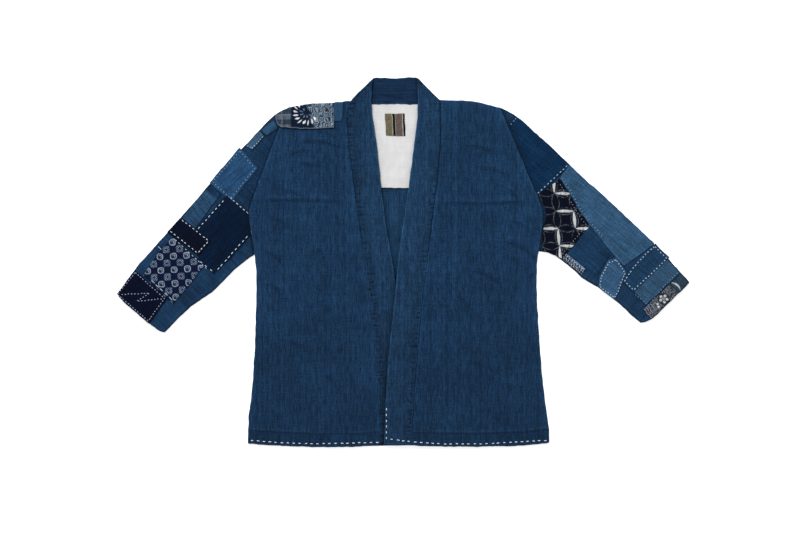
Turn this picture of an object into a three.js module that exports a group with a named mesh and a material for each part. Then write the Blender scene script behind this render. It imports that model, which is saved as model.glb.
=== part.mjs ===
// A noragi jacket laid flat with its front up, as a set of cut and sewn pieces.
// Millimetres. +X is the viewer's right (the wearer's left), +Y runs to the collar and +Z is up.
// The origin is under the middle of the garment, on the surface that it lies on.

import * as THREE from "three";

// Driving sizes of the cloth and of the layers
const CLOTH = 1.2;
const PATCH_CLOTH = 1.0;
const BAND_THICKNESS = 2.6;
const BAND_CROWN = 0.3;
const SEAM_GAP = 0.4;
const PATCH_GAP = 0.45;
const HEM_TURN = 28;
const HEM_DOUBLING = 0.8;
const HEM_STEP = 4;
const PATCH_CELL = 24;
const COLLAR_CELL = 20;
const LINING_CELL = 30;
const SHOULDER_PATCH_BRIDGE = 12;

// Heights of the cloth above the surface
const FRONT_AT_SEAMS = CLOTH + 0.3;
const ARMHOLE_LIFT = 2.6;
const PANEL_PILLOW = 0.7;
const BAND_ABOVE_BAND = 0.7;
const COLLAR_BACK_THICKNESS = 2.6;
const LINING_UNDERSIDE = CLOTH + 0.3;
const BAND_UNDERSIDE = COLLAR_BACK_THICKNESS + 0.3;
const BAND_UNDERSIDE_AT_HEM = 1.8;
const SLEEVE_AT_FOLD = 2.7;
const SLEEVE_RISE = 2.6;
const SLEEVE_FOLD_ROUNDING = 1.4;

// How finely the pieces are divided
const LOWER_ROWS = 13;
const ARMHOLE_ROWS = 10;
const FRONT_COLUMNS = 12;
const BACK_COLUMNS = 8;
const BAND_COLUMNS = 3;
const SLEEVE_RINGS = 17;
const HEM_TURN_ROW = 1;

// Where the left band starts to climb, and where it is high enough to cross the right one
const CROSSING_TOP = 85;
const CROSSING_BOTTOM = -32;

// Share of the body's height where a front comes down to the shoulder, and how quickly the curves
// of the hem and the shoulder fade into the panels
const SHOULDER_FALL = 0.9;
const HEM_FADE = 4;
const SHOULDER_FADE = 8;

// Side edges of the body from hem to shoulder: the side seam up to the underarm, then the armhole
const SIDE_EDGE = {
  right: [
    { y: -361, x: -310 },
    { y: -305, x: -309 },
    { y: -275, x: -304 },
    { y: -235, x: -300 },
    { y: -165, x: -296 },
    { y: -55, x: -293 },
    { y: -15, x: -293 },
    { y: 17, x: -297 },
    { y: 65, x: -305 },
    { y: 99, x: -311 },
    { y: 111, x: -307 },
    { y: 149, x: -293 },
    { y: 185, x: -279 },
    { y: 215, x: -267 },
    { y: 249, x: -255 },
    { y: 293, x: -237 },
    { y: 306, x: -232 },
  ],
  left: [
    { y: -358, x: 291 },
    { y: -325, x: 289 },
    { y: -285, x: 283 },
    { y: -235, x: 277 },
    { y: -165, x: 271 },
    { y: -95, x: 267 },
    { y: -19, x: 264 },
    { y: 25, x: 270 },
    { y: 67, x: 276 },
    { y: 99, x: 282 },
    { y: 115, x: 275 },
    { y: 139, x: 263 },
    { y: 181, x: 245 },
    { y: 221, x: 229 },
    { y: 249, x: 217 },
    { y: 277, x: 205 },
    { y: 307, x: 193 },
  ],
};
const UNDERARM_Y = { right: 17, left: 25 };

// The hem and the shoulder line across the whole body
const HEM_LINE = [
  { x: -310, y: -361 },
  { x: -247, y: -365 },
  { x: -167, y: -368 },
  { x: -87, y: -367 },
  { x: -42, y: -362 },
  { x: -7, y: -364 },
  { x: 113, y: -367 },
  { x: 233, y: -365 },
  { x: 291, y: -359 },
];
const SHOULDER_LINE = [
  { x: -232, y: 306 },
  { x: -201, y: 313 },
  { x: -147, y: 316.5 },
  { x: -107, y: 319 },
  { x: 73, y: 321 },
  { x: 93, y: 321.5 },
  { x: 133, y: 320 },
  { x: 153, y: 316.5 },
  { x: 173, y: 311.5 },
  { x: 193, y: 307 },
];

// The collar bands from hem to collar: the edge at the opening, and the edge sewn to the front,
// which above the shoulder becomes the slanted fold
const BAND = {
  right: [
    { outerY: -362, outerX: -46, innerX: 9, innerY: -364 },
    { outerY: -275, outerX: -50, innerX: 3, innerY: -275 },
    { outerY: -175, outerX: -57, innerX: -3, innerY: -175 },
    { outerY: -75, outerX: -67, innerX: -11, innerY: -75 },
    { outerY: -25, outerX: -75, innerX: -19, innerY: -19 },
    { outerY: 33, outerX: -83, innerX: -28, innerY: 35 },
    { outerY: 83, outerX: -89, innerX: -37, innerY: 85 },
    { outerY: 157, outerX: -100, innerX: -45, innerY: 151 },
    { outerY: 225, outerX: -109, innerX: -52, innerY: 225 },
    { outerY: 269, outerX: -112, innerX: -59, innerY: 271 },
    { outerY: 305, outerX: -118, innerX: -63, innerY: 299 },
    { outerY: 319, outerX: -108, innerX: -65, innerY: 315 },
    { outerY: 339, outerX: -87, innerX: -63.5, innerY: 341 },
    { outerY: 359, outerX: -67, innerX: -61, innerY: 364 },
  ],
  left: [
    { outerY: -364, outerX: 15, innerX: -39, innerY: -362 },
    { outerY: -315, outerX: 18, innerX: -37, innerY: -315 },
    { outerY: -255, outerX: 21, innerX: -34, innerY: -255 },
    { outerY: -175, outerX: 28, innerX: -29, innerY: -175 },
    { outerY: -75, outerX: 37, innerX: -18, innerY: -79 },
    { outerY: -17, outerX: 44, innerX: -12, innerY: -15 },
    { outerY: 33, outerX: 50, innerX: -7, innerY: 35 },
    { outerY: 93, outerX: 58, innerX: 1, innerY: 91 },
    { outerY: 147, outerX: 65, innerX: 10, innerY: 147 },
    { outerY: 185, outerX: 70, innerX: 16, innerY: 191 },
    { outerY: 225, outerX: 73, innerX: 21, innerY: 235 },
    { outerY: 265, outerX: 74, innerX: 26, innerY: 271 },
    { outerY: 295, outerX: 74, innerX: 28, innerY: 295 },
    { outerY: 321, outerX: 73, innerX: 29, innerY: 315 },
    { outerY: 341, outerX: 53, innerX: 28, innerY: 341 },
    { outerY: 361, outerX: 33, innerX: 27, innerY: 366 },
  ],
};
const NECK_SEAM_Y = 313;
const COLLAR_SEAM_X = { right: -107, left: 73 };
const NECK_FROM_X = COLLAR_SEAM_X.right - 2;
const NECK_TO_X = COLLAR_SEAM_X.left + 2;
const COLLAR_BACK_TOP_Y = 367;
const COLLAR_BACK_DIP = 1.5;

// Sleeve edges from the body to the cuff, and the cuff from the overarm fold to the underarm seam
const SLEEVE = {
  right: {
    overarm: [
      [-232, 306],
      [-255, 295],
      [-287, 264],
      [-313, 236],
      [-337, 215],
      [-373, 173],
      [-401, 140],
      [-439, 97],
      [-490, 39],
      [-525, 1],
      [-551, -33],
      [-571, -62],
    ],
    underarm: [
      [-297, 17],
      [-335, -12],
      [-373, -51],
      [-407, -75],
      [-433, -95],
      [-457, -119],
      [-475, -138],
    ],
    cuff: [
      [-571, -62],
      [-547, -87],
      [-507, -119],
      [-487, -135],
      [-475, -138],
    ],
  },
  left: {
    overarm: [
      [193, 307],
      [227, 290],
      [253, 265],
      [293, 230],
      [333, 193],
      [373, 156],
      [409, 125],
      [449, 86],
      [497, 40],
      [515, 23],
      [543, -9],
      [571, -40],
    ],
    underarm: [
      [270, 25],
      [297, 20],
      [333, -7],
      [359, -31],
      [381, -43],
      [403, -59],
      [433, -85],
      [453, -104],
      [473, -121],
    ],
    cuff: [
      [571, -40],
      [533, -75],
      [503, -105],
      [487, -117],
      [473, -121],
    ],
  },
};

// Places on a sleeve are measured along it from the shoulder and across it from the overarm fold
const SLEEVE_FRAME = {
  right: { x: -245, y: 301, degrees: -132, towardsUnderarm: 1 },
  left: { x: 195, y: 307, degrees: -42.6, towardsUnderarm: -1 },
};

// Folds of the fronts: centre, direction of the crest, half length, half width and height
const FRONT_FOLDS = {
  right: [
    { x: -205, y: 123, degrees: -2, long: 95, wide: 15, high: 0.9 },
    { x: -163, y: 235, degrees: -9, long: 45, wide: 15, high: 0.8 },
    { x: -189, y: 190, degrees: 0, long: 25, wide: 14, high: 0.6 },
    { x: -224, y: 139, degrees: -20, long: 24, wide: 14, high: 0.7 },
    { x: -250, y: -50, degrees: -24, long: 30, wide: 15, high: 0.8 },
    { x: -147, y: -232, degrees: -50, long: 24, wide: 15, high: 0.6 },
  ],
  left: [
    { x: 167, y: 121, degrees: -3, long: 95, wide: 15, high: 0.9 },
    { x: 214, y: 134, degrees: -52, long: 28, wide: 14, high: 0.9 },
    { x: 163, y: -27, degrees: -23, long: 36, wide: 15, high: 0.8 },
    { x: 228, y: 20, degrees: 32, long: 38, wide: 14, high: 0.9 },
    { x: 240, y: -161, degrees: -68, long: 24, wide: 15, high: 0.6 },
  ],
};

// Folds of the sleeves, along and across the sleeve
const SLEEVE_FOLDS = {
  right: [
    { x: 225, y: 95, degrees: 62, long: 48, wide: 24, high: 0.9 },
    { x: 345, y: 62, degrees: 75, long: 40, wide: 26, high: 0.7 },
    { x: 452, y: 60, degrees: 80, long: 40, wide: 24, high: 0.5 },
  ],
  left: [
    { x: 235, y: 100, degrees: 60, long: 48, wide: 24, high: 0.9 },
    { x: 340, y: 70, degrees: 78, long: 40, wide: 26, high: 0.8 },
    { x: 430, y: 50, degrees: 85, long: 42, wide: 24, high: 0.5 },
  ],
};

// Patches on the sleeves. Each row runs across the sleeve, from its start to its end.
// The level counts the patches that lie beneath.
const SLEEVE_PATCHES = [
  {
    name: "patch_right_upper_light", side: "right", level: 0, colour: 0x3f6b93,
    rows: [
      { a0: 24, b0: 3, a1: 30, b1: 20 },
      { a0: 53, b0: -3, a1: 54, b1: 12 },
    ],
  },
  {
    name: "patch_right_small_pale", side: "right", level: 0, colour: 0x5580a6,
    rows: [
      { a0: 57, b0: -4, a1: 59, b1: 9 },
      { a0: 94, b0: -7, a1: 92, b1: 8 },
    ],
  },
  {
    name: "patch_right_mid_blue", side: "right", level: 0, colour: 0x3a6c9c,
    rows: [
      { a0: 110, b0: -9, a1: 116, b1: 39 },
      { a0: 196, b0: -7, a1: 195, b1: 44 },
    ],
  },
  {
    name: "patch_right_slub_blue", side: "right", level: 0, colour: 0x33608d,
    rows: [
      { a0: 199, b0: -6, a1: 199, b1: 20 },
      { a0: 245, b0: -6, a1: 245, b1: 25 },
      { a0: 287, b0: -4, a1: 285, b1: 29 },
    ],
  },
  {
    name: "patch_right_navy", side: "right", level: 0, colour: 0x14213d,
    rows: [
      { a0: 198, b0: 35, a1: 194, b1: 80 },
      { a0: 222, b0: 34, a1: 222, b1: 116 },
      { a0: 284, b0: 33, a1: 280, b1: 118 },
      { a0: 327, b0: 78, a1: 325, b1: 114 },
    ],
  },
  {
    name: "patch_right_black", side: "right", level: 1, colour: 0x11151f,
    rows: [
      { a0: 292, b0: -2, a1: 286, b1: 66 },
      { a0: 325, b0: -3, a1: 319, b1: 67 },
    ],
  },
  {
    name: "patch_right_squares", side: "right", level: 0, colour: 0x2a3a5e,
    rows: [
      { a0: 330, b0: 11, a1: 330, b1: 89 },
      { a0: 378, b0: 10, a1: 377, b1: 92 },
      { a0: 422, b0: 17, a1: 424, b1: 94 },
    ],
  },
  {
    name: "patch_right_edge_light", side: "right", level: 0, colour: 0x5a86ab,
    rows: [
      { a0: 361, b0: -3, a1: 360, b1: 8 },
      { a0: 414, b0: -4, a1: 416, b1: 14 },
    ],
  },
  {
    name: "patch_right_cuff_navy", side: "right", level: 0, colour: 0x131d38,
    rows: [
      { a0: 431, b0: -1, a1: 430, b1: 78 },
      { a0: 484, b0: 3, a1: 485, b1: 85 },
    ],
  },
  {
    name: "patch_left_upper_indigo", side: "left", level: 0, colour: 0x1a3050,
    rows: [
      { a0: 33, b0: -3, a1: 37, b1: 15 },
      { a0: 71, b0: -6, a1: 71, b1: 30 },
      { a0: 104, b0: -7, a1: 104, b1: 48 },
      { a0: 137, b0: -7, a1: 137, b1: 62 },
      { a0: 173, b0: -8, a1: 168, b1: 75 },
    ],
  },
  {
    name: "patch_left_circles", side: "left", level: 0, colour: 0x15171c,
    rows: [
      { a0: 182, b0: 27, a1: 173, b1: 78 },
      { a0: 204, b0: 31, a1: 198, b1: 85 },
      { a0: 222, b0: 36, a1: 210, b1: 95 },
      { a0: 240, b0: 42, a1: 224, b1: 121 },
      { a0: 262, b0: 48, a1: 248, b1: 147 },
      { a0: 283, b0: 50, a1: 286, b1: 133 },
    ],
  },
  {
    name: "patch_left_long_light", side: "left", level: 0, colour: 0x4a7396,
    rows: [
      { a0: 176, b0: -8, a1: 181, b1: 23 },
      { a0: 208, b0: -9, a1: 208, b1: 28 },
      { a0: 247, b0: -10, a1: 247, b1: 41 },
      { a0: 287, b0: -10, a1: 287, b1: 48 },
      { a0: 340, b0: -9, a1: 335, b1: 56 },
      { a0: 403, b0: -7, a1: 388, b1: 63 },
    ],
  },
  {
    name: "patch_left_mid_indigo", side: "left", level: 0, colour: 0x27507a,
    rows: [
      { a0: 286, b0: 51, a1: 290, b1: 121 },
      { a0: 325, b0: 58, a1: 333, b1: 120 },
      { a0: 356, b0: 63, a1: 365, b1: 118 },
    ],
  },
  {
    name: "patch_left_speckled", side: "left", level: 0, colour: 0x2b2e38,
    rows: [
      { a0: 290, b0: 124, a1: 289, b1: 134 },
      { a0: 336, b0: 122, a1: 337, b1: 132 },
    ],
  },
  {
    name: "patch_left_hexagon", side: "left", level: 0, colour: 0x5b86ac,
    rows: [
      { a0: 370, b0: 66, a1: 403, b1: 74 },
      { a0: 362, b0: 79, a1: 406, b1: 86 },
      { a0: 372, b0: 112, a1: 416, b1: 110 },
      { a0: 382, b0: 127, a1: 420, b1: 124 },
    ],
  },
  {
    name: "patch_left_dark_stitched", side: "left", level: 0, colour: 0x223f60,
    rows: [
      { a0: 409, b0: -6, a1: 444, b1: -4 },
      { a0: 405, b0: 18, a1: 443, b1: 20 },
      { a0: 407, b0: 59, a1: 440, b1: 58 },
      { a0: 411, b0: 86, a1: 438, b1: 88 },
    ],
  },
  {
    name: "patch_left_light_strip", side: "left", level: 0, colour: 0x4b7394,
    rows: [
      { a0: 447, b0: -2, a1: 483, b1: 1 },
      { a0: 441, b0: 89, a1: 476, b1: 93 },
    ],
  },
  {
    name: "patch_left_cuff_print", side: "left", level: 0, colour: 0x3a3d45,
    rows: [
      { a0: 486, b0: 2, a1: 508, b1: 5 },
      { a0: 480, b0: 102, a1: 502, b1: 105 },
    ],
  },
];

// Patches on the right shoulder. Each row runs towards the collar, and the print covers the
// armhole seam.
const SHOULDER_PATCHES = [
  {
    name: "patch_right_shoulder_light", level: 0, colour: 0x5582a8,
    rows: [
      { x0: -200, y0: 309, x1: -200, y1: 280 },
      { x0: -160, y0: 314, x1: -160, y1: 280 },
      { x0: -120, y0: 317, x1: -124, y1: 280 },
    ],
  },
  {
    name: "patch_right_shoulder_print", level: 1, colour: 0x232c44,
    rows: [
      { x0: -257, y0: 291, x1: -251, y1: 273 },
      { x0: -237, y0: 303, x1: -244, y1: 268 },
      { x0: -203, y0: 312, x1: -205, y1: 264 },
      { x0: -139, y0: 316, x1: -139, y1: 266 },
    ],
  },
];

const LINING_ROWS = [
  { x0: -62, y0: 147, x1: 26, y1: 147 },
  { x0: -70, y0: 230, x1: 34, y1: 230 },
  { x0: -78, y0: NECK_SEAM_Y - 0.5, x1: 42, y1: NECK_SEAM_Y - 0.5 },
];
const LABEL_ROWS = [
  { x0: -35, y0: 253, x1: 1, y1: 253 },
  { x0: -37, y0: 295, x1: -1, y1: 295 },
];

const { clamp, degToRad, lerp, smoothstep } = THREE.MathUtils;

// Value of one column of a table at a place in another column, by which the rows are sorted
function lookUp(table, keyColumn, key, valueColumn) {
  let row = 1;
  while (row < table.length - 1 && table[row][keyColumn] < key) {
    row += 1;
  }
  const low = table[row - 1];
  const high = table[row];
  const share = clamp((key - low[keyColumn]) / (high[keyColumn] - low[keyColumn]), 0, 1);
  return lerp(low[valueColumn], high[valueColumn], share);
}

// Sum of soft ridges at one place
function foldHeight(folds, x, y) {
  return folds.reduce((sum, fold) => {
    const angle = degToRad(fold.degrees);
    const along = (x - fold.x) * Math.cos(angle) + (y - fold.y) * Math.sin(angle);
    const across = (y - fold.y) * Math.cos(angle) - (x - fold.x) * Math.sin(angle);
    return sum + fold.high * Math.exp(-((along / fold.long) ** 2) - (across / fold.wide) ** 2);
  }, 0);
}

// Closed mesh from points and quads, with its faces pointing out
function closedBody(points, quads) {
  const index = quads.flatMap(([a, b, c, d]) => [a, b, c, a, c, d]);
  let volume = 0;
  const corner = new THREE.Vector3();
  for (let i = 0; i < index.length; i += 3) {
    const [p, q, r] = [points[index[i]], points[index[i + 1]], points[index[i + 2]]];
    volume += corner.copy(p).cross(q).dot(r);
  }
  if (volume < 0) {
    index.reverse();
  }
  const geometry = new THREE.BufferGeometry().setFromPoints(points);
  geometry.setIndex(index);
  geometry.computeVertexNormals();
  return geometry;
}

// Wall of cloth from a grid of plan points: under and thick give its underside and its thickness
function clothWall(grid, under, thick) {
  const rows = grid.length;
  const columns = grid[0].length;
  const lastColumn = columns - 1;
  const lower = grid.flatMap((row, r) => row.map((p, c) => new THREE.Vector3(p.x, p.y, under(p, r, c))));
  const upper = lower.map((p, i) => {
    const [r, c] = [Math.floor(i / columns), i % columns];
    return new THREE.Vector3(p.x, p.y, p.z + thick(grid[r][c], r, c));
  });
  const top = (r, c) => r * columns + c;
  const bottom = (r, c) => rows * columns + top(r, c);
  const quads = [];
  for (let r = 0; r < rows - 1; r += 1) {
    for (let c = 0; c < lastColumn; c += 1) {
      quads.push([top(r, c), top(r, c + 1), top(r + 1, c + 1), top(r + 1, c)]);
      quads.push([bottom(r, c), bottom(r + 1, c), bottom(r + 1, c + 1), bottom(r, c + 1)]);
    }
    quads.push([top(r, 0), top(r + 1, 0), bottom(r + 1, 0), bottom(r, 0)]);
    const [topNear, topFar] = [top(r, lastColumn), top(r + 1, lastColumn)];
    quads.push([topFar, topNear, bottom(r, lastColumn), bottom(r + 1, lastColumn)]);
  }
  for (let c = 0; c < lastColumn; c += 1) {
    quads.push([top(0, c + 1), top(0, c), bottom(0, c), bottom(0, c + 1)]);
    quads.push([top(rows - 1, c), top(rows - 1, c + 1), bottom(rows - 1, c + 1), bottom(rows - 1, c)]);
  }
  return closedBody([...upper, ...lower], quads);
}

// Grid of plan points between rows that each have a start and an end, with cells of about one size
function gridFromRows(rows, cell) {
  const length = (row) => Math.hypot(row.x1 - row.x0, row.y1 - row.y0);
  const columns = Math.max(1, Math.round(Math.max(...rows.map(length)) / cell));
  const acrossRow = (row) => Array.from({ length: columns + 1 }, (_, c) => ({
    x: lerp(row.x0, row.x1, c / columns),
    y: lerp(row.y0, row.y1, c / columns),
  }));
  const grid = [acrossRow(rows[0])];
  for (let i = 1; i < rows.length; i += 1) {
    const [from, to] = [rows[i - 1], rows[i]];
    const atStart = Math.hypot(to.x0 - from.x0, to.y0 - from.y0);
    const atEnd = Math.hypot(to.x1 - from.x1, to.y1 - from.y1);
    const reach = Math.max(atStart, atEnd);
    const steps = Math.max(1, Math.round(reach / cell));
    for (let s = 1; s <= steps; s += 1) {
      const between = {};
      for (const key of ["x0", "y0", "x1", "y1"]) {
        between[key] = lerp(from[key], to[key], s / steps);
      }
      grid.push(acrossRow(between));
    }
  }
  return grid;
}

// The rows that the body's pieces and the sleeves share: points on the side edge and on the band seam
function bodyStations(side) {
  const edge = SIDE_EDGE[side];
  const band = BAND[side];
  const [hemY, shoulderY, underarmY] = [edge[0].y, edge[edge.length - 1].y, UNDERARM_Y[side]];
  const seamHemY = band[0].outerY;
  const seamShoulderY = lookUp(SHOULDER_LINE, "x", COLLAR_SEAM_X[side], "y");
  const levels = [hemY, hemY + HEM_TURN];
  const turnTop = hemY + HEM_TURN + HEM_STEP;
  for (let i = 0; i < LOWER_ROWS; i += 1) {
    levels.push(lerp(turnTop, underarmY, i / LOWER_ROWS));
  }
  for (let i = 0; i <= ARMHOLE_ROWS; i += 1) {
    levels.push(lerp(underarmY, shoulderY, i / ARMHOLE_ROWS));
  }
  return levels.map((y) => {
    const share = (y - hemY) / (shoulderY - hemY);
    const seamY = lerp(seamHemY, seamShoulderY, share);
    return {
      share,
      edge: { x: lookUp(edge, "y", y, "x"), y },
      seam: { x: lookUp(band, "outerY", seamY, "outerX"), y: seamY },
    };
  });
}

const STATIONS = { right: bodyStations("right"), left: bodyStations("left") };
const OUTWARD = { right: -1, left: 1 };

// Underside of a band: flat on the layers beneath, and the left one climbs over the right one
function bandUnder(side, y) {
  const low = BAND.right[0].outerY;
  const rightBand = lerp(BAND_UNDERSIDE_AT_HEM, BAND_UNDERSIDE, smoothstep(y, low, CROSSING_BOTTOM));
  if (side === "right") {
    return rightBand;
  }
  const onRightBand = rightBand + BAND_THICKNESS + BAND_CROWN + SEAM_GAP;
  return lerp(onRightBand, BAND_UNDERSIDE, smoothstep(y, CROSSING_BOTTOM, CROSSING_TOP));
}

// Underside of a front: low at the side seam and shoulder, lifted at the armhole and beside the band
function frontUnder(side, x, y) {
  const edge = SIDE_EDGE[side];
  const [hemY, shoulderY, underarmY] = [edge[0].y, edge[edge.length - 1].y, UNDERARM_Y[side]];
  const sideX = lookUp(edge, "y", y, "x");
  const seamX = lookUp(BAND[side], "outerY", Math.min(y, shoulderY), "outerX");
  const across = clamp((x - sideX) / (seamX - sideX), 0, 1);
  const up = clamp((y - hemY) / (shoulderY - hemY), 0, 1);
  const armhole = clamp((y - underarmY) / (shoulderY - underarmY), 0, 1);
  const atSide = FRONT_AT_SEAMS + ARMHOLE_LIFT * 4 * armhole * (1 - armhole);
  const shoulderFall = smoothstep(up, SHOULDER_FALL, 1);
  const atBand = lerp(bandUnder(side, y) + BAND_ABOVE_BAND, FRONT_AT_SEAMS + BAND_ABOVE_BAND, shoulderFall);
  const pillow = PANEL_PILLOW * 16 * across * (1 - across) * up * (1 - up);
  const foldFade = 16 * across * (1 - across) * up * (1 - up);
  const folds = foldHeight(FRONT_FOLDS[side], x, y) * Math.min(1, foldFade * 2);
  return lerp(atSide, atBand, across * across * (3 - 2 * across)) + pillow + folds;
}

// How far a row of a body panel bends towards the hem line below and the shoulder line above
function fadedCurves(hem, top, share) {
  return hem * (1 - share) ** HEM_FADE + top * share ** SHOULDER_FADE;
}

// Cloth thickness of a body panel, doubled where the hem is turned
const panelThickness = (row) => (row <= HEM_TURN_ROW ? CLOTH + HEM_DOUBLING : CLOTH);

function backPanel() {
  const [fromX, toX] = [SHOULDER_LINE[0].x, SHOULDER_LINE[SHOULDER_LINE.length - 1].x];
  const inNeck = (x) => x > NECK_FROM_X && x < NECK_TO_X;
  const topOf = (x) => (inNeck(x) ? NECK_SEAM_Y : lookUp(SHOULDER_LINE, "x", x, "y"));
  const neckShares = [NECK_FROM_X - 1, NECK_FROM_X + 1, NECK_TO_X - 1, NECK_TO_X + 1].map(
    (x) => (x - fromX) / (toX - fromX),
  );
  const evenShares = Array.from({ length: BACK_COLUMNS + 1 }, (_, c) => c / BACK_COLUMNS);
  const shares = [...evenShares, ...neckShares].sort((p, q) => p - q);
  const [hemRight, hemLeft] = [STATIONS.right[0], STATIONS.left[0]];
  const [topRight, topLeft] = [STATIONS.right, STATIONS.left].map((stations) => stations.at(-1));
  const grid = STATIONS.right.map((station, i) => {
    const other = STATIONS.left[i];
    return shares.map((share) => {
      const x = lerp(station.edge.x, other.edge.x, share);
      const straight = lerp(station.edge.y, other.edge.y, share);
      const hem = lookUp(HEM_LINE, "x", x, "y") - lerp(hemRight.edge.y, hemLeft.edge.y, share);
      const top = topOf(x) - lerp(topRight.edge.y, topLeft.edge.y, share);
      return { x, y: straight + fadedCurves(hem, top, station.share) };
    });
  });
  return clothWall(grid, () => 0, () => CLOTH);
}

function frontPanel(side) {
  const stations = STATIONS[side];
  const grid = stations.map((station) => {
    const seamX = station.seam.x + OUTWARD[side] * SEAM_GAP;
    return Array.from({ length: FRONT_COLUMNS + 1 }, (_, c) => {
      const share = c / FRONT_COLUMNS;
      const x = lerp(station.edge.x, seamX, share);
      const straight = lerp(station.edge.y, station.seam.y, share);
      const hem = lookUp(HEM_LINE, "x", x, "y") - lerp(stations[0].edge.y, stations[0].seam.y, share);
      const last = stations[stations.length - 1];
      const top = lookUp(SHOULDER_LINE, "x", x, "y") - lerp(last.edge.y, last.seam.y, share);
      return { x, y: straight + fadedCurves(hem, top, station.share) };
    });
  });
  return clothWall(grid, (p) => frontUnder(side, p.x, p.y), (p, row) => panelThickness(row));
}

function bandStrip(side) {
  const band = BAND[side];
  const topOfSeam = STATIONS[side][STATIONS[side].length - 1].seam.y;
  const levels = STATIONS[side].map((station) => station.seam.y);
  levels.push(...band.map((row) => row.outerY).filter((y) => y > topOfSeam + 1));
  const grid = levels.map((y) => {
    const [inner, outer] = ["inner", "outer"].map((name) => ({
      x: lookUp(band, "outerY", y, `${name}X`),
      y: name === "outer" ? y : lookUp(band, "outerY", y, "innerY"),
    }));
    return Array.from({ length: BAND_COLUMNS + 1 }, (_, c) => ({
      x: lerp(inner.x, outer.x, c / BAND_COLUMNS),
      y: lerp(inner.y, outer.y, c / BAND_COLUMNS),
    }));
  });
  const crown = (column) => (column === 0 || column === BAND_COLUMNS ? 0 : BAND_CROWN);
  return clothWall(grid, (p) => bandUnder(side, p.y), (p, r, c) => BAND_THICKNESS + crown(c));
}

// Stretch of the collar behind the neck, lying beyond the shoulder line with its inside up
function collarBack() {
  const [seam, top] = [{ x0: COLLAR_SEAM_X.right, x1: COLLAR_SEAM_X.left }, { x0: -60, x1: 26 }];
  const rows = [
    { ...seam, y0: NECK_SEAM_Y + SEAM_GAP, y1: NECK_SEAM_Y + SEAM_GAP },
    { ...seam, y0: 318, y1: 320 },
    { ...top, y0: COLLAR_BACK_TOP_Y - 1, y1: COLLAR_BACK_TOP_Y },
  ];
  const grid = gridFromRows(rows, COLLAR_CELL);
  const middle = (top.x0 + top.x1) / 2;
  const dipReach = (top.x1 - top.x0) / 3;
  grid[grid.length - 1].forEach((p) => {
    p.y -= COLLAR_BACK_DIP * Math.max(0, 1 - Math.abs(p.x - middle) / dipReach);
  });
  return clothWall(grid, () => 0, () => COLLAR_BACK_THICKNESS);
}

// Places on a sleeve to plan points and back
function onSleeve(side, a, b) {
  const frame = SLEEVE_FRAME[side];
  const angle = degToRad(frame.degrees);
  const turn = frame.towardsUnderarm;
  return {
    x: frame.x + a * Math.cos(angle) - b * turn * Math.sin(angle),
    y: frame.y + a * Math.sin(angle) + b * turn * Math.cos(angle),
  };
}

function alongSleeve(side, x, y) {
  const frame = SLEEVE_FRAME[side];
  const angle = degToRad(frame.degrees);
  const [dx, dy] = [x - frame.x, y - frame.y];
  return {
    a: dx * Math.cos(angle) + dy * Math.sin(angle),
    b: frame.towardsUnderarm * (dy * Math.cos(angle) - dx * Math.sin(angle)),
  };
}

const SLEEVE_WIDTHS = Object.fromEntries(Object.entries(SLEEVE).map(([side, sleeve]) => [side, {
  overarm: sleeve.overarm.map(([x, y]) => alongSleeve(side, x, y)),
  underarm: sleeve.underarm.map(([x, y]) => alongSleeve(side, x, y)),
}]));

// Top of a sleeve: a lens across its width with soft folds
function sleeveTop(side, x, y) {
  const { a, b } = alongSleeve(side, x, y);
  const from = lookUp(SLEEVE_WIDTHS[side].overarm, "a", a, "b");
  const to = lookUp(SLEEVE_WIDTHS[side].underarm, "a", a, "b");
  const across = clamp((b - from) / (to - from), 0, 1);
  const lens = 4 * across * (1 - across);
  return SLEEVE_AT_FOLD + lens * (SLEEVE_RISE + foldHeight(SLEEVE_FOLDS[side], a, b));
}

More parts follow.
